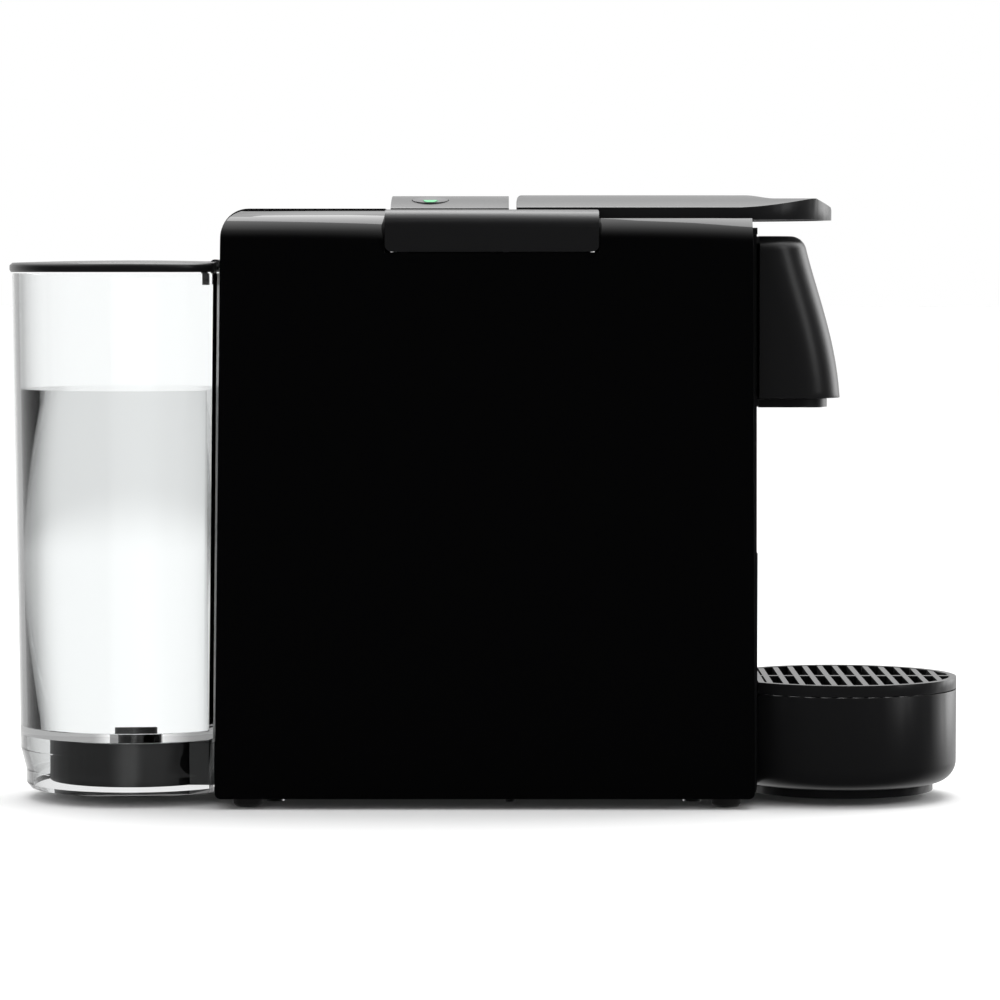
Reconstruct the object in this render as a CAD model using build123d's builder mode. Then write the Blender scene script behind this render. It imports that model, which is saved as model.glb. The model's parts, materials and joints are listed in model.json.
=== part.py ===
from build123d import *
from math import cos, radians, sin
import os

# Pod coffee machine: a narrow body between two glossy side panels, with a round water
# tank behind it and a round drip tray in front of it. Millimetres. +X is the front, where
# the cup stands, +Z is up, and the origin is the middle of the footprint, on the worktop.

# ---- Driving dimensions -------------------------------------------------------------
half_width = 42.0       # over the control saddle

# Body: seen from the side, the outline leans outwards a little towards the base.
# Pairs are the X value at the top and at the base.
panel_half = 41.2
panel_bottom, panel_top = 3.4, 200.4
panel_rear, panel_front = (-87.5, -90.1), (89.7, 90.9)
panel_wall = 2.2
shoulder = 13.0         # radius where the top rolls over to the side
frame_half = 28.0       # half width of the centre frame between the panels
frame_top = 201.0
frame_rear, frame_front = (-88.2, -90.5), (91.7, 92.3)
frame_wall = 2.4
deck = (192.3, 194.5)   # plate below the lever
trough_half = 36.2      # half width of the recess that the lever lies in
inner_half = 38.9       # inside of the side panels
floor_top = 5.2         # top of the base plate
bulkhead = (4.0, 6.0)   # wall between the pump room and the brew room

# Control saddle, and the raised button housing on it
saddle_x, saddle_z = (-32.8, 38.5), (186.5, 200.6)
housing_x, housing_top, housing_wall = (-31.0, 8.5), 205.6, 2.0
crown_half, crown_rise = 38.45, 8.0   # half axes of the elliptical crown
crown_edge = 34.8       # half width of the housing and of the lever
well_half = 35.3
button_at, button_r, button_tilt = (-17.9, 24.0, 203.75), 6.0, 9.5

# Lever, its axle, and the crank that pushes the brew carriage
lever_x, lever_z = (11.2, 118.7), (196.9, 205.9)
lever_wall = 2.2
axle_x, axle_z, axle_r = 29.0, 196.0, 2.2
crank_r, crank_start = 22.5, 50.0     # pin radius, and its rest angle below the rear
arm_y = (28.5, 31.0)
pin_x = axle_x - crank_r * cos(radians(crank_start))
pin_z = axle_z - crank_r * sin(radians(crank_start))
pin_r = 2.2
carriage_travel = 2 * crank_r * cos(radians(crank_start))

# Brew chamber, with the capsule lying along X
brew_z = 154.0
side_y = (22.5, 24.5)
yoke_y = (25.2, 27.2)
cage_x, cage_r = (8.0, 39.0), 20.5
guide_z, guide_x, guide_r = (143.0, 165.0), 45.2, 2.9
tube_z = 146.5

# Outlet head over the cup
nose_z, nose_half, nose_wall, nose_rear = (137.3, 191.8), 30.0, 2.2, 92.6

# Water tank
tank_x = -119.7
tank_flat = (-89.4, -91.6)    # X of the flat face at the rim and at the base
tank_rim, tank_floor, tank_base, tank_wall = 179.3, (21.9, 24.8), 3.6, 2.0
seat_r, seat_z = 29.5, (6.0, 20.7)
lid_z, lid_r = (179.7, 183.7), 42.4
hinge_x, hinge_z = -91.0, 182.1

# Drip tray with the container for used capsules behind it
tray_x, tray_r, tray_flat, tray_wall = 122.1, 40.1, 92.5, 2.0
tray_z, grid_z = (5.3, 37.2), (37.5, 41.4)
slat_pitch, slat_width = 5.3, 2.0
door_half, door_top = 25.7, 85.0
container_x, container_half, container_z = (9.5, 88.6), 24.6, (7.4, 84.0)

# Pump room
pump_at = (-58.0, 0.0)
heater_z = 112.0

os.makedirs("parts", exist_ok=True)


def save(name, builder):
    """Labels a finished piece and writes it as its own node."""
    builder.part.label = name
    export_step(builder.part, "parts/" + name + ".step")


def box(x, y, z, mode=Mode.ADD):
    """Adds or cuts a box given by its limits along each axis."""
    with Locations(((x[0] + x[1]) / 2, (y[0] + y[1]) / 2, (z[0] + z[1]) / 2)):
        Box(x[1] - x[0], y[1] - y[0], z[1] - z[0], mode=mode)


def tube(plane, limits, outer, inner=0.0, at=(0.0, 0.0), mode=Mode.ADD):
    """A ring or disc between two values along the axis that the plane faces."""
    towards = -1 if plane.z_dir.Y < 0 else 1
    with BuildSketch(plane.offset(towards * limits[0])) as face:
        with Locations(at):
            Circle(outer)
            if inner:
                Circle(inner, mode=Mode.SUBTRACT)
    extrude(face.sketch, amount=towards * (limits[1] - limits[0]), mode=mode)


def both_sides(y):
    """The same limits on the right (negative Y) and on the left."""
    return ((-y[1], -y[0]), (y[0], y[1]))


def plate(points, y, radius=0.0, mode=Mode.ADD):
    """An upright plate with the given outline in XZ, between two values of Y."""
    with BuildSketch(Plane.XZ.offset(-y[0])) as shape:
        with BuildLine():
            Polyline(*points, close=True)
        make_face()
        if radius:
            fillet(shape.vertices(), radius=radius)
    extrude(shape.sketch, amount=-(y[1] - y[0]), mode=mode)


def outline(rear, front, low, high, corners):
    """The body from the side. corners: rear top, front top and base radius."""
    with BuildSketch(Plane.XZ) as shape:
        with BuildLine():
            Polyline((rear[1], low), (front[1], low), (front[0], high), (rear[0], high), close=True)
        make_face()
        fillet(shape.vertices().group_by(Axis.Y)[-1].sort_by(Axis.X)[0], radius=corners[0])
        fillet(shape.vertices().group_by(Axis.Y)[-1].sort_by(Axis.X)[-1], radius=corners[1])
        if corners[2]:
            fillet(shape.vertices().group_by(Axis.Y)[0], radius=corners[2])
    return shape.sketch


def panel_form(shape, inset):
    """Both side panels as one solid form, taken in by the wall where inset is given."""
    with BuildPart() as form:
        extrude(shape, amount=half_width, both=True)
        with BuildSketch(Plane.YZ.offset(-120)) as section:
            with Locations((0, (panel_top - inset) / 2)):
                Rectangle(2 * (panel_half - inset), panel_top - inset)
            fillet(section.vertices().group_by(Axis.Y)[-1], radius=shoulder - inset)
        extrude(amount=240, mode=Mode.INTERSECT)
    return form.part


def crown(x, top, low, inset=0.0, mode=Mode.ADD):
    """The rounded cross-section shared by the lever and the button housing."""
    half = crown_edge - inset
    with BuildSketch(Plane.YZ.offset(x[0])) as section:
        with Locations((0, top - crown_rise)):
            Ellipse(crown_half - inset, crown_rise - inset)
        with Locations((0, top - crown_rise - 20)):
            Rectangle(2 * half, 40)
        with Locations((0, (top + low) / 2)):
            Rectangle(2 * half, top - low, mode=Mode.INTERSECT)
    extrude(section.sketch, amount=x[1] - x[0], mode=mode)


# ---- Body shells --------------------------------------------------------------------
panel_outline = outline(panel_rear, panel_front, panel_bottom, panel_top, (9.0, 3.0, 2.0))
hollow_outline = outline(
    (panel_rear[0] + panel_wall, panel_rear[1] + panel_wall),
    (panel_front[0] - panel_wall, panel_front[1] - panel_wall),
    0, panel_top - panel_wall, (6.8, 1.0, 0),
)
panel_outer = panel_form(panel_outline, 0)
panel_inner = panel_form(hollow_outline, panel_wall)

with BuildPart() as side_panel_right:
    add(panel_outer)
    add(panel_inner, mode=Mode.SUBTRACT)
    box((-120, 120), (-frame_half - 0.2, 60), (0, 220), Mode.SUBTRACT)
    # The recess for the lever and the controls, and the seat of the saddle
    box((saddle_x[0] - 0.15, 120), (-trough_half, 0), (185, 220), Mode.SUBTRACT)
    box((saddle_x[0] - 0.15, saddle_x[1] + 0.15), (-60, 0), (saddle_z[0] - 0.15, 220), Mode.SUBTRACT)
save("side_panel_right", side_panel_right)

with BuildPart() as side_panel_left:
    mirror(side_panel_right.part, about=Plane.XZ)
save("side_panel_left", side_panel_left)

frame_outline = outline(frame_rear, frame_front, panel_bottom, frame_top, (9.5, 3.0, 2.0))
frame_hollow = outline(
    (frame_rear[0] + frame_wall, frame_rear[1] + frame_wall),
    (frame_front[0] - frame_wall, frame_front[1] - frame_wall),
    0, frame_top - frame_wall, (7.1, 1.0, 0),
)

with BuildPart() as rear_frame:
    extrude(frame_outline, amount=frame_half, both=True)
    extrude(frame_hollow, amount=frame_half, both=True, mode=Mode.SUBTRACT)
    box((saddle_x[0] - 0.2, 120), (-60, 60), (0, 220), Mode.SUBTRACT)
    # Passage for the neck of the tank seat
    box((-95, -80), (-22.3, 22.3), (0, seat_z[1] + 0.3), Mode.SUBTRACT)
save("rear_frame", rear_frame)

with BuildPart() as front_frame:
    extrude(frame_outline, amount=frame_half, both=True)
    extrude(frame_hollow, amount=frame_half, both=True, mode=Mode.SUBTRACT)
    box((-120, 85), (-60, 60), (0, 220), Mode.SUBTRACT)
    box((80, 120), (-60, 60), (deck[1], 220), Mode.SUBTRACT)
    # Doorway for the tray and the container
    box((80, 120), (-door_half - 0.3, door_half + 0.3), (0, door_top + 0.3), Mode.SUBTRACT)
    # Passage for the coffee tube and the outlet channel
    box((80, 120), (-10.5, 10.5), (134, 152), Mode.SUBTRACT)
    # Deck below the lever, with the opening for the capsule
    box((40, 91.5), (-trough_half + 0.2, trough_half - 0.2), deck)
    box((42, 73), (-20.5, 20.5), (190, 196), Mode.SUBTRACT)
save("front_frame", front_frame)

screw_places = [(x, y) for x in (-70, 70) for y in (-34, 34)]
gland_at = (-57, 33.5)
with BuildPart() as base_plate:
    box((-87.6, 88.4), (-inner_half, inner_half), (panel_bottom, floor_top))
    fillet(base_plate.edges().filter_by(Axis.Z), radius=4)
    # The frame's front and rear walls come down past the plate
    box((-100, -87.4), (-frame_half - 0.2, frame_half + 0.2), (0, 10), Mode.SUBTRACT)
    box((87.9, 100), (-frame_half - 0.2, frame_half + 0.2), (0, 10), Mode.SUBTRACT)
    # Rails that the container's sledge runs between
    for y in both_sides((25.4, 27.4)):
        box((8, 87.5), y, (floor_top, 9.5))
    # Low stop in the middle of the underside
    tube(Plane.XY, (1.4, panel_bottom), 1.6, at=(8.9, -30))
    tube(Plane.XY, (1.4, panel_bottom), 1.6, at=(8.9, 30))
    # Holes for the screws and for the power cord's gland
    for place in screw_places:
        tube(Plane.XY, (floor_top, 9.0), 3.2, at=place)
        tube(Plane.XY, (0, 10), 1.6, at=place, mode=Mode.SUBTRACT)
    tube(Plane.XY, (0, 10), 4.1, at=gland_at, mode=Mode.SUBTRACT)
save("base_plate", base_plate)

foot_places = [(x, y) for x in (-79.5, 81.8) for y in (-30, 30)]
with BuildPart() as feet:
    for place in foot_places:
        tube(Plane.XY, (0, panel_bottom), 5.0, at=place)
    chamfer(feet.edges().group_by(Axis.Z)[0], length=0.8)
save("feet", feet)

with BuildPart() as base_screws:
    for place in screw_places:
        tube(Plane.XY, (2.2, panel_bottom), 3.0, at=place)
        tube(Plane.XY, (panel_bottom, 8.8), 1.5, at=place)
save("base_screws", base_screws)

with BuildPart() as cord_gland:
    tube(Plane.XY, (panel_bottom - 1.6, panel_bottom), 5.2, at=gland_at)
    tube(Plane.XY, (panel_bottom, 15.0), 4.0, at=gland_at)
    tube(Plane.XY, (1, 16), 2.4, at=gland_at, mode=Mode.SUBTRACT)
save("cord_gland", cord_gland)

with BuildPart() as bulkhead_wall:
    box(bulkhead, (-38.4, 38.4), (floor_top + 0.1, 184))
    tube(Plane.YZ, (0, 10), 4.6, at=(0, brew_z), mode=Mode.SUBTRACT)
    box((0, 10), (-8, 8), (floor_top, 14), Mode.SUBTRACT)
save("bulkhead_wall", bulkhead_wall)

# ---- Control saddle and buttons -----------------------------------------------------
with BuildPart() as control_saddle:
    with BuildSketch(Plane.YZ.offset(saddle_x[0])) as saddle_section:
        with Locations((0, (saddle_z[0] + saddle_z[1]) / 2)):
            Rectangle(2 * half_width, saddle_z[1] - saddle_z[0])
        fillet(saddle_section.vertices().group_by(Axis.Y)[-1], radius=5.9)
    extrude(amount=saddle_x[1] - saddle_x[0])
    with BuildSketch(Plane.XZ) as saddle_side:
        with Locations(((saddle_x[0] + saddle_x[1]) / 2, (saddle_z[0] + saddle_z[1]) / 2)):
            Rectangle(saddle_x[1] - saddle_x[0], saddle_z[1] - saddle_z[0])
        fillet(saddle_side.vertices().group_by(Axis.Y)[0], radius=2.2)
        fillet(saddle_side.vertices().group_by(Axis.Y)[-1], radius=0.8)
    extrude(amount=half_width, both=True, mode=Mode.INTERSECT)
    crown(housing_x, housing_top, saddle_z[1] - 2)
    crown((housing_x[0] + housing_wall, housing_x[1] - housing_wall), housing_top,
          saddle_z[0] - housing_wall, housing_wall, Mode.SUBTRACT)
    box((saddle_x[0] + 2, housing_x[1] - 2), (-40, 40), (180, 194.6), Mode.SUBTRACT)
    # Well between the two cheeks, where the rear end of the lever dips down
    box((housing_x[1], 60), (-well_half, well_half), (150, 230), Mode.SUBTRACT)
    for side in (-1, 1):
        with Locations(Location((button_at[0], side * button_at[1], button_at[2]), (-side * button_tilt, 0, 0))):
            Cylinder(button_r + 0.25, 12, mode=Mode.SUBTRACT)
save("control_saddle", control_saddle)

for side, name in ((-1, "button_right"), (1, "button_left")):
    with BuildPart() as button:
        with Locations(Location((button_at[0], side * button_at[1], button_at[2]), (-side * button_tilt, 0, 0))):
            with Locations((0, 0, -1.6)):
                Cylinder(button_r, 3.9)
            with Locations((0, 0, -3.3)):
                Cylinder(7.4, 1.0)
            with Locations((0, 0, -4.6)):
                Cylinder(1.8, 2.0)
            with Locations((0, 0, 30.0)):
                Sphere(30.4, mode=Mode.SUBTRACT)
    save(name, button)

with BuildPart() as control_board:
    box((-28, 5), (-31, 31), (190.5, 192.1))
    for x in (-25, 2):
        for y in (-28, 28):
            tube(Plane.XY, (190, 193), 1.6, at=(x, y), mode=Mode.SUBTRACT)
save("control_board", control_board)

with BuildPart() as board_switches:
    for y in (-23.2, 23.2):
        box((button_at[0] - 3, button_at[0] + 3), (y - 3, y + 3), (192.1, 195.6))
        tube(Plane.XY, (195.6, 196.6), 1.7, at=(button_at[0], y))
    box((-8, 2), (-12, 12), (192.1, 198.0))
save("board_switches", board_switches)

with BuildPart() as board_bracket:
    box((-29, bulkhead[0]), (-33, 33), (186.6, 188.6))
    box((-26, 2), (-24, 24), (186, 190), Mode.SUBTRACT)
    for x in (-25, 2):
        for y in (-28, 28):
            tube(Plane.XY, (188.6, 190.5), 3.0, at=(x, y))
            tube(Plane.XY, (190.5, 192.6), 1.5, at=(x, y))
save("board_bracket", board_bracket)

# ---- Lever --------------------------------------------------------------------------
lever_end = lever_x[1] - crown_edge


def lever_plan(inset, z, height, mode):
    """The lever's outline from above: straight flanks and a round front end."""
    rear = lever_x[0] + inset
    with BuildSketch(Plane.XY.offset(z)) as plan:
        with Locations((lever_end, 0)):
            Circle(crown_edge - inset)
        with Locations(((rear + lever_end) / 2, 0)):
            Rectangle(lever_end - rear, 2 * (crown_edge - inset))
    extrude(plan.sketch, amount=height, mode=mode)


with BuildPart() as lever_cavity:
    crown((lever_x[0] + lever_wall, 130), lever_z[1], 190, lever_wall)
    lever_plan(lever_wall, 180, 40, Mode.INTERSECT)
    # Below the finger dip the hollow is lower too
    plate([(0, 180), (117, 180), (117, 199.9), (111.5, 202.3), (98, 202.3), (88, 203.7), (0, 203.7)],
          (-50, 50), mode=Mode.INTERSECT)

with BuildPart() as lever_shell:
    crown(lever_x, lever_z[1], lever_z[0])
    lever_plan(0, 180, 40, Mode.INTERSECT)
    with BuildSketch(Plane.XZ) as lever_side:
        with BuildLine():
            Polyline((lever_x[0], lever_z[0]), (lever_x[0], lever_z[1]), (88, lever_z[1]))
            Spline((88, lever_z[1]), (93, lever_z[1] - 0.7), (98, 204.5), tangents=((1, 0), (1, 0)))
            Polyline((98, 204.5), (112.2, 204.5), (118.0, 201.7), (lever_x[1], 200.6),
                     (lever_x[1], lever_z[0] + 0.4), (lever_x[0], lever_z[0]))
        make_face()
        fillet(lever_side.vertices().group_by(Axis.Y)[-1].sort_by(Axis.X)[0], radius=2.0)
    extrude(amount=50, both=True, mode=Mode.INTERSECT)
    add(lever_cavity.part, mode=Mode.SUBTRACT)
    for y in (-12, 12):
        tube(Plane.XY, (200.1, 204.2), 3.0, at=(47, y))
        tube(Plane.XY, (199, 203.4), 1.2, at=(47, y), mode=Mode.SUBTRACT)
save("lever_shell", lever_shell)

with BuildPart() as lever_underside:
    lever_plan(lever_wall + 0.15, 197.6, 1.5, Mode.ADD)
    box((0, 60), (-50, 50), (190, 210), Mode.SUBTRACT)
    for y in (-22, 22):
        tube(Plane.XY, (199.1, 201.2), 2.5, at=(70, y))
save("lever_underside", lever_underside)

with BuildPart() as lever_arms:
    box((38, 56), (-arm_y[1], arm_y[1]), (198.4, 200.1))
    for y in both_sides(arm_y):
        plate([(24, 196.5), (24, 199.6), (56, 199.6), (56, 197.2), (38, 197.2), (33, 193)], y)
        tube(Plane.XZ, y, 4.7, at=(axle_x, axle_z))
        tube(Plane.XZ, y, 4.3, at=(pin_x, pin_z))
        plate([(axle_x - 3.8, axle_z + 3.2), (axle_x + 3.2, axle_z - 3.8),
               (pin_x + 2.8, pin_z - 3.3), (pin_x - 3.3, pin_z + 2.8)], y)
        tube(Plane.XZ, y, axle_r + 0.05, at=(axle_x, axle_z), mode=Mode.SUBTRACT)
    tube(Plane.XZ, (-arm_y[1], -24.8), pin_r, at=(pin_x, pin_z))
    tube(Plane.XZ, (24.8, arm_y[1]), pin_r, at=(pin_x, pin_z))
    for y in (-12, 12):
        tube(Plane.XY, (198, 201), 1.6, at=(47, y), mode=Mode.SUBTRACT)
save("lever_arms", lever_arms)

with BuildPart() as lever_axle:
    tube(Plane.XZ, (-32.2, 32.2), axle_r, at=(axle_x, axle_z))
    chamfer(lever_axle.edges().filter_by(GeomType.CIRCLE), length=0.4)
save("lever_axle", lever_axle)

# ---- Brew chamber -------------------------------------------------------------------
for y, name in zip(both_sides(side_y), ("chamber_side_right", "chamber_side_left")):
    with BuildPart() as chamber_side:
        plate([(6.2, 128), (6.2, 176), (27, 176), (24.4, 194), (33.6, 194), (36, 176), (86, 176), (86, 128)], y)
        tube(Plane.XZ, y, 5.0, at=(axle_x, axle_z))
        tube(Plane.XZ, y, axle_r + 0.02, at=(axle_x, axle_z), mode=Mode.SUBTRACT)
        # Guide slots for the carriage
        for z in guide_z:
            box((guide_x, guide_x + carriage_travel + 0.4), y, (z - guide_r - 0.08, z + guide_r + 0.08), Mode.SUBTRACT)
            for x in (guide_x, guide_x + carriage_travel + 0.4):
                tube(Plane.XZ, y, guide_r + 0.08, at=(x, z), mode=Mode.SUBTRACT)
        for x in (14, 30):
            tube(Plane.XZ, y, 1.6, at=(x, brew_z), mode=Mode.SUBTRACT)
    save(name, chamber_side)

with BuildPart() as chamber_screws:
    for side in both_sides((20.0, side_y[1])):
        for x in (14, 30):
            tube(Plane.XZ, side, 1.5, at=(x, brew_z))
    for side in ((-side_y[1] - 0.6, -side_y[1]), (side_y[1], side_y[1] + 0.6)):
        for x in (14, 30):
            tube(Plane.XZ, side, 2.8, at=(x, brew_z))
save("chamber_screws", chamber_screws)

with BuildPart() as capsule_cage:
    tube(Plane.YZ, cage_x, cage_r, at=(0, brew_z))
    for y in ((-side_y[0], -17.5), (17.5, side_y[0])):
        box((10, 34), y, (148, 160))
    # Hollow for the capsule, narrower towards the needles
    with BuildSketch(Plane.XZ):
        with BuildLine():
            Polyline((11.5, brew_z), (11.5, brew_z + 11.5), (35.5, brew_z + 15.2), (35.5, brew_z + 18.0),
                     (40, brew_z + 18.0), (40, brew_z), close=True)
        make_face()
    revolve(axis=Axis((0, 0, brew_z), (1, 0, 0)), mode=Mode.SUBTRACT)
    tube(Plane.YZ, (0, 20), 3.1, at=(0, brew_z), mode=Mode.SUBTRACT)
    for side in both_sides((20.0, side_y[0])):
        for x in (14, 30):
            tube(Plane.XZ, side, 1.55, at=(x, brew_z), mode=Mode.SUBTRACT)
save("capsule_cage", capsule_cage)

with BuildPart() as piercing_needles:
    tube(Plane.YZ, (11.6, 12.6), 9.5, 3.3, at=(0, brew_z))
    for angle in (90, 210, 330):
        place = (12.6, 6.4 * cos(radians(angle)), brew_z + 6.4 * sin(radians(angle)))
        with Locations(Location(place, (0, 90, 0))):
            Cone(1.6, 0.15, 4.5, align=(Align.CENTER, Align.CENTER, Align.MIN))
save("piercing_needles", piercing_needles)

with BuildPart() as cage_seal:
    tube(Plane.YZ, (39.05, 40.1), 20.3, 18.1, at=(0, brew_z))
save("cage_seal", cage_seal)

with BuildPart() as inlet_elbow:
    tube(Plane.YZ, (-3, 11.4), 3.0, 1.5, at=(0, brew_z))
    tube(Plane.YZ, (-3, bulkhead[0]), 4.4, 1.5, at=(0, brew_z))
save("inlet_elbow", inlet_elbow)

with BuildPart() as chamber_bridge:
    box((80, 86), (-side_y[0], side_y[0]), (128, 134))
    box((86.1, 89.0), (-side_y[1], side_y[1]), (126.5, 133.5))
    box((79, 86.1), (-side_y[0], side_y[0]), (126.5, 128))
save("chamber_bridge", chamber_bridge)

with BuildPart() as chamber_cover:
    box((6.2, 38), (-side_y[1], side_y[1]), (176.1, 177.2))
    for y in both_sides((side_y[0] - 0.3, side_y[1] + 0.3)):
        box((26.2, 37.0), y, (170, 180), Mode.SUBTRACT)
save("chamber_cover", chamber_cover)

# ---- Brew carriage, pushed forwards by the crank pins --------------------------------
with BuildPart() as brew_carriage:
    box((42.4, 48.2), (-22.2, 22.2), (133, 175))
    fillet(brew_carriage.edges().filter_by(Axis.X), radius=3)
    tube(Plane.YZ, (48.2, 54), 15.0, 13.0, at=(0, brew_z))
    tube(Plane.YZ, (52.5, 54), 15.0, at=(0, brew_z))
    tube(Plane.YZ, (52.5, 86.6), 4.0, at=(0, tube_z))
    for z in guide_z:
        tube(Plane.XZ, (-28.0, 28.0), guide_r, at=(guide_x, z))
    tube(Plane.YZ, (53, 90), 2.6, at=(0, tube_z), mode=Mode.SUBTRACT)
    for y, z in ((0, 160), (0, 148), (-6, 154), (6, 154)):
        tube(Plane.YZ, (40, 49), 1.8, at=(y, z), mode=Mode.SUBTRACT)
    tube(Plane.YZ, (52, 55), 2.6, at=(0, tube_z), mode=Mode.SUBTRACT)
save("brew_carriage", brew_carriage)

with BuildPart() as extraction_plate:
    tube(Plane.YZ, (41.2, 42.3), 16.5, at=(0, brew_z))
    with BuildSketch(Plane.YZ.offset(41.2)):
        with Locations((0, brew_z)):
            with GridLocations(4.6, 4.6, 5, 5):
                Rectangle(2.6, 2.6)
    extrude(amount=-0.8, taper=30)
    for y in (-2.3, 2.3, -6.9, 6.9):
        for z in (-2.3, 2.3, -6.9, 6.9):
            tube(Plane.YZ, (40, 43), 0.6, at=(y, brew_z + z), mode=Mode.SUBTRACT)
save("extraction_plate", extraction_plate)

with BuildPart() as carriage_yokes:
    for y in both_sides(yoke_y):
        plate([(9.0, 167), (9.0, 184.8), (20.0, 184.8), (22.5, 178), (49.0, 171),
               (49.0, 138.5), (37.5, 138.5), (37.5, 158)], y, radius=1.5)
        for z in guide_z:
            tube(Plane.XZ, y, guide_r + 0.04, at=(guide_x, z), mode=Mode.SUBTRACT)
        # Upright slot for the crank pin
        low, high = axle_z - crank_r, pin_z
        box((pin_x - 2.8, pin_x + 2.8), y, (low, high), Mode.SUBTRACT)
        for z in (low, high):
            tube(Plane.XZ, y, 2.8, at=(pin_x, z), mode=Mode.SUBTRACT)
save("carriage_yokes", carriage_yokes)

# ---- Outlet head --------------------------------------------------------------------
nose_stations = ((137.3, 120.7), (149.6, 119.2), (163.3, 116.1), (176.0, 112.4), (191.8, 108.2))


def nose_form(inset, low):
    """The outlet head as a solid form: a rounded plan that grows forwards to the base."""
    sections = []
    for z, front in nose_stations:
        with BuildSketch(Plane.XY.offset(max(low, z) if z < 140 else z - inset)) as section:
            with Locations(((60 + front - inset) / 2, 0)):
                Rectangle(front - inset - 60, 2 * (nose_half - inset))
            fillet(section.vertices().group_by(Axis.X)[-1], radius=15 - inset)
        sections.append(section.sketch)
    with BuildPart() as form:
        loft(sections)
        fillet(form.edges().group_by(Axis.Z)[-1].filter_by(lambda e: e.center().X > 61), radius=5.5 - inset)
        box((0, nose_rear), (-60, 60), (100, 220), Mode.SUBTRACT)
    return form.part


nose_outer = nose_form(0, nose_z[0])
nose_inner = nose_form(nose_wall, nose_z[0] - 1)

with BuildPart() as nose_cover:
    add(nose_outer)
    add(nose_inner, mode=Mode.SUBTRACT)
save("nose_cover", nose_cover)

with BuildPart() as nose_base:
    with BuildSketch(Plane.XY.offset(134.2)) as nose_plan:
        with Locations(((nose_rear + 116.4) / 2, 0)):
            Rectangle(116.4 - nose_rear, 2 * 26.5)
        fillet(nose_plan.vertices().group_by(Axis.X)[-1], radius=12)
    extrude(amount=2.8)
    tube(Plane.XY, (130, 140), 4.7, at=(111.3, 0), mode=Mode.SUBTRACT)
save("nose_base", nose_base)

with BuildPart() as outlet_channel:
    box((84.5, 116), (-9.5, 9.5), (137.2, 141.6))
    box((85.7, 114.8), (-8.0, 8.0), (138.6, 143), Mode.SUBTRACT)
    tube(Plane.XY, (130, 140), 4.7, at=(111.3, 0), mode=Mode.SUBTRACT)
save("outlet_channel", outlet_channel)

with BuildPart() as coffee_spout:
    tube(Plane.XY, (133.5, 138.6), 4.6, 3.2, at=(111.3, 0))
save("coffee_spout", coffee_spout)

# ---- Water tank ---------------------------------------------------------------------
def flat_side(inset):
    """What is cut away from the round tank on the side of the body."""
    slope = (tank_flat[1] - tank_flat[0]) / (tank_base - tank_rim)
    plate([(tank_flat[0] + slope * (z - tank_rim) - inset, z) for z in (-5, 240)]
          + [(-40, 240), (-40, -5)], (-70, 70), mode=Mode.SUBTRACT)


with BuildPart() as tank_hollow:
    with BuildSketch(Plane.XZ):
        with BuildLine():
            Polyline((tank_x, tank_floor[1]), (tank_x - 37.5, tank_floor[1]), (tank_x - 39.5, 185),
                     (tank_x, 185), close=True)
        make_face()
    revolve(axis=Axis((tank_x, 0, 0), (0, 0, 1)))
    with BuildSketch(Plane.XZ):
        with BuildLine():
            Polyline((tank_x, 0), (tank_x - 35.4, 0), (tank_x - 35.5, 9.8), (tank_x - 37.4, 17.2),
                     (tank_x - 37.5, tank_floor[0]), (tank_x, tank_floor[0]), close=True)
        make_face()
    revolve(axis=Axis((tank_x, 0, 0), (0, 0, 1)))
    flat_side(tank_wall)

with BuildPart() as water_tank:
    with BuildSketch(Plane.XZ) as tank_side:
        with BuildLine():
            Polyline((tank_x, tank_base), (tank_x - 36.2, tank_base), (tank_x - 37.5, 5.2),
                     (tank_x - 37.5, 9.5), (tank_x - 39.4, 17), (tank_x - 39.5, 22),
                     (tank_x - 41.5, tank_rim), (tank_x, tank_rim), close=True)
        make_face()
    revolve(axis=Axis((tank_x, 0, 0), (0, 0, 1)))
    flat_side(0)
    add(tank_hollow.part, mode=Mode.SUBTRACT)
    # The seat's neck passes below the flat side
    box((-95, -85), (-22.6, 22.6), (0, tank_floor[0]), Mode.SUBTRACT)
    tube(Plane.XY, (15, 30), 6.3, at=(tank_x, 0), mode=Mode.SUBTRACT)
    for y in both_sides((15.0, 18.0)):
        box((-92.4, -89.5), y, (tank_rim - 3, hinge_z))
        tube(Plane.XZ, y, 1.45, at=(hinge_x, hinge_z))
        tube(Plane.XZ, y, 0.82, at=(hinge_x, hinge_z), mode=Mode.SUBTRACT)
save("water_tank", water_tank)

with BuildPart() as tank_valve:
    tube(Plane.XY, (14.0, 24.8), 6.2, at=(tank_x, 0))
    tube(Plane.XY, (20.9, 21.8), 8.5, at=(tank_x, 0))
    tube(Plane.XY, (10, 30), 3.2, at=(tank_x, 0), mode=Mode.SUBTRACT)
    tube(Plane.XY, (10, 17.0), 4.4, at=(tank_x, 0), mode=Mode.SUBTRACT)
save("tank_valve", tank_valve)

with BuildPart() as valve_poppet:
    tube(Plane.XY, (16.6, 23.6), 1.6, at=(tank_x, 0))
    tube(Plane.XY, (20.0, 21.2), 3.0, at=(tank_x, 0))
save("valve_poppet", valve_poppet)

with BuildPart() as tank_filter:
    tube(Plane.XY, (24.9, 27.0), 6.6, at=(tank_x, 0))
    with BuildSketch(Plane.XY.offset(24.9)):
        with Locations((tank_x, 0)):
            with GridLocations(2.4, 2.4, 4, 4):
                Rectangle(1.5, 1.5)
    extrude(amount=2.1, mode=Mode.SUBTRACT)
save("tank_filter", tank_filter)

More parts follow.
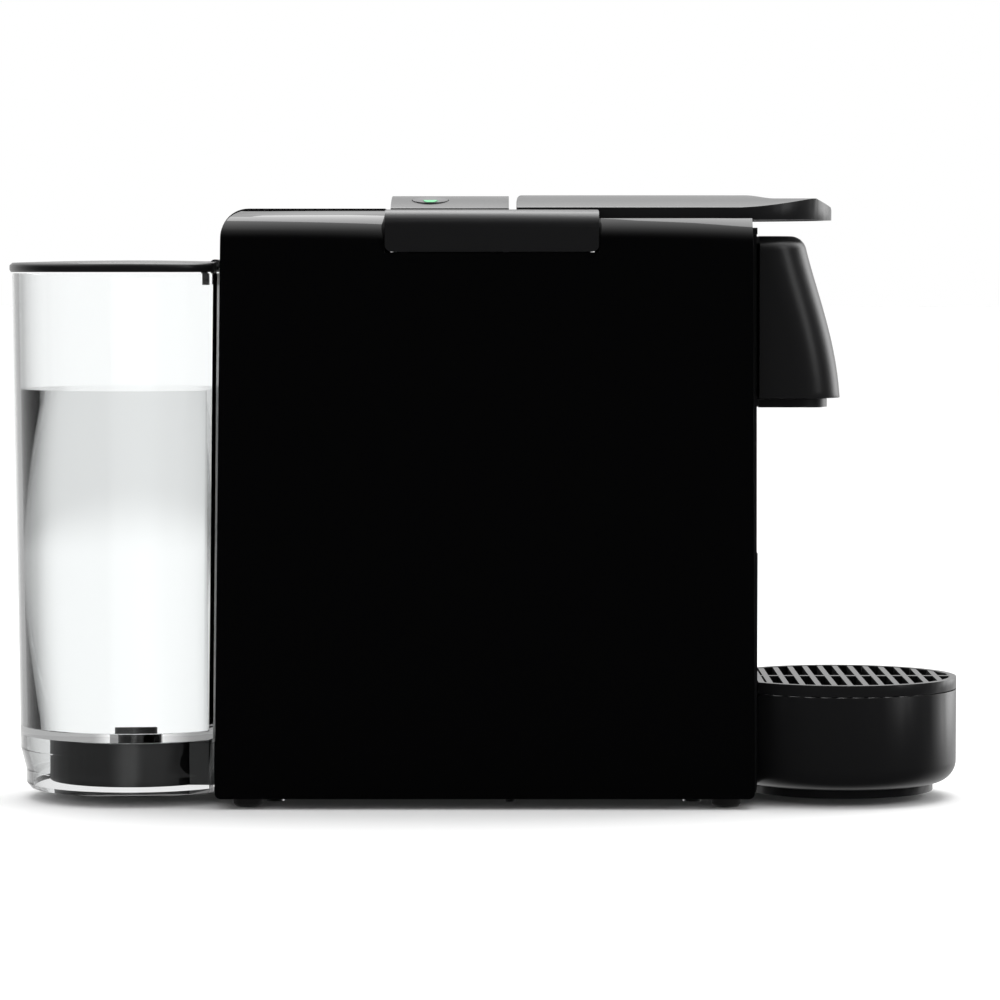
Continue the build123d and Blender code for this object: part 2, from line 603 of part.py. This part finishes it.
with BuildPart() as tank_seat:
    with BuildSketch(Plane.XY.offset(seat_z[0])):
        with Locations((tank_x, 0)):
            Circle(seat_r)
        with Locations(((tank_x - 84) / 2, 0)):
            Rectangle(-84 - tank_x, 44)
    extrude(amount=seat_z[1] - seat_z[0])
    # Recess for the tank's coupling
    tube(Plane.XY, (12.4, 30), 9.4, at=(tank_x, 0), mode=Mode.SUBTRACT)
    box((tank_x, -76), (-3.2, 3.2), (0, 11.0), Mode.SUBTRACT)
    # Hollow from below
    tube(Plane.XY, (0, 18.2), 27.3, 12.0, at=(tank_x, 0), mode=Mode.SUBTRACT)
    box((tank_x + 29, -70), (-19.8, 19.8), (0, 18.2), Mode.SUBTRACT)
    tube(Plane.XY, (0, 30), 2.0, at=(tank_x, 0), mode=Mode.SUBTRACT)
save("tank_seat", tank_seat)

with BuildPart() as tank_spigot:
    tube(Plane.XY, (12.5, 13.7), 3.6, at=(tank_x, 0))
    tube(Plane.XY, (13.7, 16.2), 2.2, at=(tank_x, 0))
    tube(Plane.XY, (6.1, 12.5), 1.9, at=(tank_x, 0))
    tube(Plane.YZ, (tank_x, tank_x + 12), 1.9, at=(0, 8.0))
    tube(Plane.XY, (8, 17), 1.1, at=(tank_x, 0), mode=Mode.SUBTRACT)
    tube(Plane.YZ, (tank_x, tank_x + 13), 1.1, at=(0, 8.0), mode=Mode.SUBTRACT)
save("tank_spigot", tank_spigot)

with BuildPart() as spigot_seal:
    tube(Plane.XY, (12.5, 13.8), 6.0, 3.7, at=(tank_x, 0))
save("spigot_seal", spigot_seal)

with BuildPart() as tank_lid:
    with BuildSketch(Plane.XZ):
        with BuildLine():
            Polyline((tank_x, lid_z[0]), (tank_x - 41.9, lid_z[0]), (tank_x - lid_r, lid_z[0] + 0.8),
                     (tank_x - lid_r, 182.0), (tank_x - 41.4, 182.9))
            Spline((tank_x - 41.4, 182.9), (tank_x - 20, 183.5), (tank_x, lid_z[1]))
            Line((tank_x, lid_z[1]), (tank_x, lid_z[0]))
        make_face()
    revolve(axis=Axis((tank_x, 0, 0), (0, 0, 1)))
    box((-90.3, -60), (-60, 60), (170, 190), Mode.SUBTRACT)
    # Hollow on the underside
    tube(Plane.XY, (lid_z[0] - 1, 181.6), 38.4, at=(tank_x, 0), mode=Mode.SUBTRACT)
    box((-94.5, -90.3), (-31, 31), (lid_z[0], 182.6))
    # Hinge: knuckle between the tank's lugs, and clip that reaches into the tank
    for y in both_sides((14.7, 18.3)):
        box((-93.4, -80), y, (170, 190), Mode.SUBTRACT)
    tube(Plane.XZ, (-14.5, 14.5), 1.9, at=(hinge_x, hinge_z))
    box((-95.0, -92.9), (-26, -22), (175.4, lid_z[0] + 0.4))
    box((-95.0, -92.9), (22, 26), (175.4, lid_z[0] + 0.4))
    tube(Plane.XZ, (-20, 20), 0.82, at=(hinge_x, hinge_z), mode=Mode.SUBTRACT)
save("tank_lid", tank_lid)

with BuildPart() as lid_pin:
    tube(Plane.XZ, (-18.0, 18.0), 0.8, at=(hinge_x, hinge_z))
save("lid_pin", lid_pin)

# ---- Drip tray, cup grid and container for used capsules ----------------------------
with BuildPart() as tray_bowl:
    tube(Plane.XY, (tray_z[0], tray_z[1]), tray_r, at=(tray_x, 0))
    fillet(tray_bowl.edges().group_by(Axis.Z)[0], radius=7.5)
    box((40, tray_flat), (-60, 60), (0, 60), Mode.SUBTRACT)

with BuildPart() as bowl_hollow:
    tube(Plane.XY, (tray_z[0] + tray_wall, 60), tray_r - tray_wall, at=(tray_x, 0))
    fillet(bowl_hollow.edges().group_by(Axis.Z)[0], radius=5.5)
    box((40, tray_flat + tray_wall), (-60, 60), (0, 70), Mode.SUBTRACT)

with BuildPart() as drip_tray:
    add(tray_bowl.part)
    tube(Plane.XY, (2.4, tray_z[0]), 32.2, 30.4, at=(tray_x, 0))
    # Door that closes the front of the body, and the sledge that carries the container
    box((90.1, tray_flat), (-door_half, door_half), (tray_z[0] + 0.3, door_top))
    box((9.2, 90.5), (-24.9, 24.9), (tray_z[0] + 0.1, 7.2))
    add(bowl_hollow.part, mode=Mode.SUBTRACT)
save("drip_tray", drip_tray)

with BuildPart() as cup_grid:
    tube(Plane.XY, grid_z, tray_r, tray_r - 2.4, at=(tray_x, 0))
    with BuildSketch(Plane.XY.offset(grid_z[0] + 0.6)):
        with Locations((tray_x + 1.2, 0)):
            with GridLocations(slat_pitch, 1, 15, 1):
                Rectangle(slat_width, 90)
        with Locations((tray_x, 0)):
            Rectangle(90, 2.4)
            Circle(tray_r - 1, mode=Mode.INTERSECT)
    extrude(amount=grid_z[1] - grid_z[0] - 0.8)
    box((40, tray_flat + 0.3), (-60, 60), (0, 60), Mode.SUBTRACT)
    box((tray_flat + 0.3, tray_flat + 2.5), (-27, 27), grid_z)
save("cup_grid", cup_grid)

with BuildPart() as container_hollow:
    box((container_x[0] + 1.6, container_x[1] - 1.6), (-container_half + 1.6, container_half - 1.6),
        (container_z[0] + 1.6, 90))
    fillet(container_hollow.edges().filter_by(Axis.Z), radius=3.4)

with BuildPart() as capsule_container:
    box(container_x, (-container_half, container_half), container_z)
    fillet(capsule_container.edges().filter_by(Axis.Z), radius=5)
    add(container_hollow.part, mode=Mode.SUBTRACT)
save("capsule_container", capsule_container)

# ---- Pump, heater, flow meter and hoses ---------------------------------------------
with BuildPart() as pump_body:
    tube(Plane.XY, (38, 116), 9.5, at=pump_at)
    tube(Plane.XY, (30, 38), 12.0, at=pump_at)
    tube(Plane.XY, (22, 30), 3.6, at=pump_at)
    tube(Plane.XY, (116, 124), 7.0, at=pump_at)
    tube(Plane.XY, (124, 132), 3.6, at=pump_at)
    tube(Plane.XY, (18, 48), 2.0, at=pump_at, mode=Mode.SUBTRACT)
    tube(Plane.XY, (112, 138), 1.5, at=pump_at, mode=Mode.SUBTRACT)
    tube(Plane.XY, (46, 112), 5.1, at=pump_at, mode=Mode.SUBTRACT)
save("pump_body", pump_body)

with BuildPart() as pump_piston:
    tube(Plane.XY, (58, 96), 5.0, at=pump_at)
    tube(Plane.XY, (96, 107), 2.2, at=pump_at)
save("pump_piston", pump_piston)

with BuildPart() as pump_coil:
    tube(Plane.XY, (52, 92), 19.0, 9.6, at=pump_at)
    box((pump_at[0] - 6, pump_at[0] + 6), (15, 24), (68, 82))
save("pump_coil", pump_coil)

with BuildPart() as pump_yoke:
    box((pump_at[0] - 21.5, pump_at[0] + 21.5), (-14, 14), (49.5, 94.5))
    box((pump_at[0] - 19.3, pump_at[0] + 19.3), (-20, 20), (51.8, 92.2), Mode.SUBTRACT)
    tube(Plane.XY, (38, 108), 9.6, at=pump_at, mode=Mode.SUBTRACT)
save("pump_yoke", pump_yoke)

with BuildPart() as pump_mounts:
    tube(Plane.XY, (31, 36), 15.0, 12.05, at=pump_at)
save("pump_mounts", pump_mounts)

with BuildPart() as pump_cradle:
    box((-76, -40), (-14, 14), (floor_top + 0.1, 8.0))
    for x in ((-76, -74), (-42, -40)):
        box(x, (-14, 14), (8, 38))
    box((-76, -40), (-14, 14), (30.6, 38))
    tube(Plane.XY, (20, 40), 15.05, at=pump_at, mode=Mode.SUBTRACT)
    tube(Plane.XY, (29, 31), 15.3, 12.5, at=pump_at)
save("pump_cradle", pump_cradle)

with BuildPart() as thermoblock:
    tube(Plane.YZ, (-29, -6), 26.0, at=(0, heater_z))
    tube(Plane.YZ, (-31, -27), 12.0, at=(0, heater_z))
    for angle in (60, 180, 300):
        place = (22.0 * cos(radians(angle)), heater_z + 22.0 * sin(radians(angle)))
        tube(Plane.YZ, (-6, bulkhead[0]), 3.0, at=place)
    # Ports: cold water in at the rear, hot water out at the top
    tube(Plane.YZ, (-36, -28), 2.8, at=(-18, heater_z))
    tube(Plane.XY, (heater_z + 20, heater_z + 33), 2.8, at=(-18, 0))
save("thermoblock", thermoblock)

with BuildPart() as flow_meter:
    tube(Plane.XZ, (18.5, 30.5), 11.0, at=(-24, 24))
    tube(Plane.XZ, (16.0, 18.5), 4.0, at=(-24, 24))
    tube(Plane.YZ, (-42, -33), 2.8, at=(24.5, 18))
    tube(Plane.YZ, (-42, -33), 2.8, at=(24.5, 30))
    tube(Plane.XZ, (20.5, 28.5), 9.0, at=(-24, 24), mode=Mode.SUBTRACT)
    box((-31, -17), (19, 30), (floor_top + 0.1, 14))
save("flow_meter", flow_meter)

with BuildPart() as flow_rotor:
    tube(Plane.XZ, (21.5, 27.5), 2.6, at=(-24, 24))
    for angle in range(0, 180, 60):
        with Locations(Location((-24, 24.5, 24), (0, angle, 0))):
            Box(15.6, 5.0, 1.2)
save("flow_rotor", flow_rotor)

hose_routes = {
    "suction_hose": [(-107.5, 0, 8), (-84, 0, 8), (-80.5, 24.5, 14), (-70, 24.5, 18), (-42.2, 24.5, 18)],
    "feed_hose": [(-42.2, 24.5, 30), (-58, 24.5, 30), (-58, 14, 11.5), (-58, 0, 11.5), (-58, 0, 21.8)],
    "pressure_hose": [(-58, 0, 132.2), (-58, 0, 142), (-46, -18, 142), (-46, -18, 112), (-36.2, -18, 112)],
    "brew_hose": [(-18, 0, 145.2), (-18, 0, brew_z), (-3.2, 0, brew_z)],
}
for name, route in hose_routes.items():
    with BuildPart() as hose:
        with BuildLine() as path:
            FilletPolyline(*route, radius=4.5)
        with BuildSketch(Plane(path.line @ 0, z_dir=path.line % 0)):
            Circle(2.6)
            Circle(1.4, mode=Mode.SUBTRACT)
        sweep()
    save(name, hose)
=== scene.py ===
import json
import math

import bpy
import bmesh
from mathutils import Matrix, Vector


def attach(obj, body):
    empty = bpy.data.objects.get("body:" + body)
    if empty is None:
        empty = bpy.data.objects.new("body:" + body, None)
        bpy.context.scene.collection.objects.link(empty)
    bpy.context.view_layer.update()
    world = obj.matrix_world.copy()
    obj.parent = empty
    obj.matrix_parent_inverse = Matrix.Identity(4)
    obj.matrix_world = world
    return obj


# Pod coffee machine, in metres. +X is the side where the cup stands and +Z is up.
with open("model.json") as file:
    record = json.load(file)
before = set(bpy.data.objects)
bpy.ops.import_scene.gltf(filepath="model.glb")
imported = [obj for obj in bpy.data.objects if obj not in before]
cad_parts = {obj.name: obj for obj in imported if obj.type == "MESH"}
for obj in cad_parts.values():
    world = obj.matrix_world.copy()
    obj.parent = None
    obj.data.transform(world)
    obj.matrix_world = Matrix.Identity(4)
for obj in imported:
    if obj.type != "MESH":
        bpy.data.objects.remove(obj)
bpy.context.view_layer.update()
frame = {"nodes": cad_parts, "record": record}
nodes = frame["nodes"]

button_tilt = 9.5         # degrees that each button leans outwards
tank_centre = -0.1197     # X of the tank's axis
water_flat = -0.0937      # X where the water meets the tank's flat side
# Radius and height of the water at the tank's floor and at its surface
water_profile = [(0.0373, 0.02500), (0.03885, 0.1400)]


# ---- Materials ----------------------------------------------------------------------
def material(name, colour, roughness, metallic=0.0, coat=0.0, grain=0.0, spread=0.04, scale=900.0):
    """A procedural surface. Fine noise varies its roughness and gives it a grain."""
    made = bpy.data.materials.new(name)
    made.use_nodes = True
    tree = made.node_tree
    shader = tree.nodes["Principled BSDF"]
    shader.inputs["Base Color"].default_value = (*colour, 1.0)
    shader.inputs["Metallic"].default_value = metallic
    shader.inputs["Coat Weight"].default_value = coat
    shader.inputs["Coat Roughness"].default_value = 0.05
    place = tree.nodes.new("ShaderNodeTexCoord")
    noise = tree.nodes.new("ShaderNodeTexNoise")
    noise.inputs["Scale"].default_value = scale
    noise.inputs["Detail"].default_value = 3.0
    tree.links.new(place.outputs["Object"], noise.inputs["Vector"])
    spreads = tree.nodes.new("ShaderNodeMapRange")
    spreads.inputs["To Min"].default_value = max(0.0, roughness - spread)
    spreads.inputs["To Max"].default_value = roughness + spread
    tree.links.new(noise.outputs["Fac"], spreads.inputs["Value"])
    tree.links.new(spreads.outputs["Result"], shader.inputs["Roughness"])
    if grain:
        bump = tree.nodes.new("ShaderNodeBump")
        bump.inputs["Strength"].default_value = grain
        bump.inputs["Distance"].default_value = 0.0001
        tree.links.new(noise.outputs["Fac"], bump.inputs["Height"])
        tree.links.new(bump.outputs["Normal"], shader.inputs["Normal"])
    return made


def clear(name, colour, ior, roughness):
    """A clear material that light passes through."""
    made = material(name, colour, roughness, spread=0.004, scale=60.0)
    shader = made.node_tree.nodes["Principled BSDF"]
    shader.inputs["Transmission Weight"].default_value = 1.0
    shader.inputs["IOR"].default_value = ior
    return made


finishes = {
    "gloss_black": material("gloss_black", (0.0012, 0.0012, 0.0013), 0.05, spread=0.01, scale=60.0),
    "satin_black": material("satin_black", (0.006, 0.006, 0.0065), 0.3, grain=0.1),
    "satin_grey": material("satin_grey", (0.007, 0.007, 0.0075), 0.3, grain=0.1),
    "matte_black": material("matte_black", (0.008, 0.008, 0.008), 0.5, grain=0.2),
    "button_plastic": material("button_plastic", (0.03, 0.03, 0.033), 0.3, grain=0.1),
    "clear_tank": clear("clear_tank", (0.97, 0.98, 0.98), 1.45, 0.006),
    "steel": material("steel", (0.56, 0.56, 0.57), 0.3, metallic=1.0),
    "rubber": material("rubber", (0.015, 0.015, 0.015), 0.8, grain=0.3),
    "heater_metal": material("heater_metal", (0.6, 0.6, 0.6), 0.45, metallic=1.0, grain=0.4, scale=400.0),
    "pump_plastic": material("pump_plastic", (0.62, 0.6, 0.54), 0.5, grain=0.1),
    "coil_plastic": material("coil_plastic", (0.28, 0.04, 0.025), 0.5, grain=0.1),
    "board_green": material("board_green", (0.02, 0.12, 0.05), 0.4),
    "hose_silicone": material("hose_silicone", (0.7, 0.7, 0.68), 0.45, grain=0.1),
}
slots = {part["node"]: part["material_slot"] for part in frame["record"]["subparts"]}
for name, node in nodes.items():
    node.data.materials.clear()
    node.data.materials.append(finishes[slots[name]])

# Moulded edges: a small radius on the pieces that are seen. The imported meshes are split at
# their sharp edges, so they are welded before the bevel can round them.
rounded = {
    "side_panel_right": 0.002, "side_panel_left": 0.002, "control_saddle": 0.0005,
    "lever_shell": 0.0006, "tank_lid": 0.0004, "nose_cover": 0.0004, "drip_tray": 0.0004,
    "cup_grid": 0.0003, "tank_seat": 0.0008, "rear_frame": 0.0004, "front_frame": 0.0004,
}
weld_gap = 0.000002
for name, radius in rounded.items():
    weld = nodes[name].modifiers.new("weld", "WELD")
    weld.merge_threshold = weld_gap
    bevel = nodes[name].modifiers.new("edge", "BEVEL")
    bevel.width = radius
    bevel.segments = 3
    bevel.limit_method = "ANGLE"
    bevel.angle_limit = math.radians(50)
    bevel.harden_normals = True


# ---- Pieces that only the look needs -------------------------------------------------
def lathe(name, profile, finish, centre, flat, steps=96):
    """A turned solid round a vertical axis, with its far side cut flat at an X value."""
    mesh = bpy.data.meshes.new(name)
    made = bpy.data.objects.new(name, mesh)
    bpy.context.collection.objects.link(made)
    shape = bmesh.new()
    rings = []
    for radius, height in profile:
        ring = []
        for step in range(steps):
            turn = 2 * math.pi * step / steps
            x = min(centre + radius * math.cos(turn), flat)
            ring.append(shape.verts.new((x, radius * math.sin(turn), height)))
        rings.append(ring)
    for lower, upper in zip(rings, rings[1:]):
        for step in range(steps):
            after = (step + 1) % steps
            shape.faces.new((lower[step], lower[after], upper[after], upper[step]))
    shape.faces.new(list(reversed(rings[0])))
    shape.faces.new(rings[-1])
    shape.normal_update()
    for face in shape.faces:
        face.smooth = len(face.verts) == 4
    shape.to_mesh(mesh)
    shape.free()
    mesh.materials.append(finish)
    return made


# Water, 0.06 to 0.18 mm inside the tank's round wall
water_finish = clear("water", (0.985, 0.99, 0.99), 1.1, 0.004)
water = lathe("water", water_profile, water_finish, tank_centre, water_flat)
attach(water, "tank")

# Cup symbols on the two buttons
symbol_finish = material("cup_symbol", (0.06, 0.42, 0.16), 0.4)
symbol_height = 0.0022
handle_radii = (0.0009, 0.0014)
handle_steps = 8


def symbol(name, side, width):
    """A small cup seen from the side, laid on top of a button."""
    mesh = bpy.data.meshes.new(name)
    made = bpy.data.objects.new(name, mesh)
    bpy.context.collection.objects.link(made)
    shape = bmesh.new()
    high = symbol_height
    bowl = [(-width, high), (width, high), (0.8 * width, -0.4 * high), (0.45 * width, -high),
            (-0.45 * width, -high), (-0.8 * width, -0.4 * high)]
    shape.faces.new([shape.verts.new((x, y, 0)) for x, y in bowl])
    ring = []
    for reach in handle_radii:
        turns = [math.pi * k / handle_steps for k in range(handle_steps + 1)]
        arc = [(width + reach * math.sin(turn), 0.0004 + reach * math.cos(turn)) for turn in turns]
        ring.append([shape.verts.new((x, y, 0)) for x, y in arc])
    for k in range(handle_steps):
        shape.faces.new((ring[0][k], ring[0][k + 1], ring[1][k + 1], ring[1][k]))
    shape.to_mesh(mesh)
    shape.free()
    mesh.materials.append(symbol_finish)
    solid = made.modifiers.new("thickness", "SOLIDIFY")
    solid.thickness = 0.0001
    tilt = Matrix.Rotation(math.radians(-side * button_tilt), 4, "X")
    spot = Vector((-0.0179, side * 0.024, 0.20375)) + tilt.to_3x3() @ Vector((0, 0, -0.00025))
    made.matrix_world = Matrix.Translation(spot) @ tilt
    return made


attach(symbol("cup_symbol_right", -1, 0.0024), "right_button")
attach(symbol("cup_symbol_left", 1, 0.0018), "left_button")

# ---- Floor, light and camera ---------------------------------------------------------
bpy.ops.mesh.primitive_plane_add(size=40.0, location=(0, 0, -0.0003))
floor = bpy.context.object
floor.name = "floor"
floor.data.materials.append(material("floor", (0.93, 0.93, 0.93), 0.9, scale=5.0))
floor.visible_glossy = False
floor.visible_transmission = False

world = bpy.data.worlds.new("studio")
bpy.context.scene.world = world
world.use_nodes = True
tree = world.node_tree
tree.nodes.clear()
path = tree.nodes.new("ShaderNodeLightPath")
where = tree.nodes.new("ShaderNodeTexCoord")
towards = tree.nodes.new("ShaderNodeSeparateXYZ")
tree.links.new(where.outputs["Generated"], towards.inputs["Vector"])


def ramp(source, start, end, low, high):
    """A smooth step between two values of a direction, from one brightness to another."""
    step = tree.nodes.new("ShaderNodeMapRange")
    step.interpolation_type = "SMOOTHSTEP"
    step.inputs["From Min"].default_value = start
    step.inputs["From Max"].default_value = end
    step.inputs["To Min"].default_value = low
    step.inputs["To Max"].default_value = high
    tree.links.new(source, step.inputs["Value"])
    return step.outputs["Result"]


def combine(operation, first, second):
    """Two brightnesses, added, multiplied or compared."""
    sums = tree.nodes.new("ShaderNodeMath")
    sums.operation = operation
    for socket, value in zip(sums.inputs, (first, second)):
        if isinstance(value, float):
            socket.default_value = value
        else:
            tree.links.new(value, socket)
    return sums.outputs["Value"]


# Reflections: white behind, a bright ceiling, a strip of light behind the front end
behind = ramp(towards.outputs["Y"], 0.0, 0.9, 0.0, 0.9)
ceiling = combine("MULTIPLY", ramp(towards.outputs["Z"], 0.3, 0.95, 0.0, 3.2),
                  ramp(towards.outputs["Y"], -0.95, 0.3, 0.0, 1.0))
strip = combine("MULTIPLY", ramp(towards.outputs["X"], 0.45, 0.8, 0.0, 3.0),
                combine("MULTIPLY", ramp(towards.outputs["Y"], 0.2, 0.6, 0.0, 1.0),
                        ramp(towards.outputs["Z"], -0.12, 0.01, 0.02, 1.0)))
mirrored = combine("ADD", combine("ADD", behind, ceiling), strip)
# Through the tank: white straight behind it, greyer to both sides and low down
through = combine("MULTIPLY", ramp(towards.outputs["Z"], -0.13, -0.06, 0.87, 1.15),
                  combine("MINIMUM", ramp(towards.outputs["X"], 0.02, 0.16, 1.0, 0.42),
                          ramp(towards.outputs["X"], -0.42, -0.12, 0.3, 1.0)))
# A refracted ray counts as glossy as well, so reflections leave out the transmitted ones
reflected = combine("MULTIPLY", path.outputs["Is Glossy Ray"],
                    combine("SUBTRACT", 1.0, path.outputs["Is Transmission Ray"]))
indirect = combine("ADD", combine("MULTIPLY", mirrored, reflected),
                   combine("MULTIPLY", path.outputs["Is Diffuse Ray"], 1.06))
seen = combine("ADD", indirect, path.outputs["Is Camera Ray"])
bent = combine("MULTIPLY", through, path.outputs["Is Transmission Ray"])
strength = combine("ADD", seen, bent)
background = tree.nodes.new("ShaderNodeBackground")
background.inputs["Color"].default_value = (1.0, 1.0, 1.0, 1.0)
tree.links.new(strength, background.inputs["Strength"])
output = tree.nodes.new("ShaderNodeOutputWorld")
tree.links.new(background.outputs["Background"], output.inputs["Surface"])


def softbox(name, spot, target, size, power):
    """A soft area light aimed at a point."""
    lamp = bpy.data.lights.new(name, "AREA")
    lamp.shape = "RECTANGLE"
    lamp.size, lamp.size_y = size
    lamp.energy = power
    made = bpy.data.objects.new(name, lamp)
    bpy.context.collection.objects.link(made)
    made.location = spot
    made.rotation_euler = (Vector(target) - Vector(spot)).to_track_quat("-Z", "Y").to_euler()
    return made


softbox("overhead", (0.1, 0.25, 1.3), (0, 0, 0.1), (1.4, 0.7), 14.0)
softbox("front_side", (1.3, -0.7, 0.7), (0.1, 0, 0.1), (0.4, 1.0), 2.0)

view_layer = bpy.context.scene.view_settings
view_layer.view_transform = "Standard"
view_layer.look = "None"

lens = bpy.data.cameras.new("camera")
lens.sensor_width = 36.0
lens.lens = 157.6
lens.clip_start, lens.clip_end = 0.05, 100.0
camera = bpy.data.objects.new("camera", lens)
bpy.context.collection.objects.link(camera)
camera.location = (0.0072, -1.5, 0.1805)
look = Vector((0.0055, 0.0, 0.1016)) - Vector(camera.location)
camera.rotation_euler = look.to_track_quat("-Z", "Y").to_euler()
bpy.context.scene.camera = camera
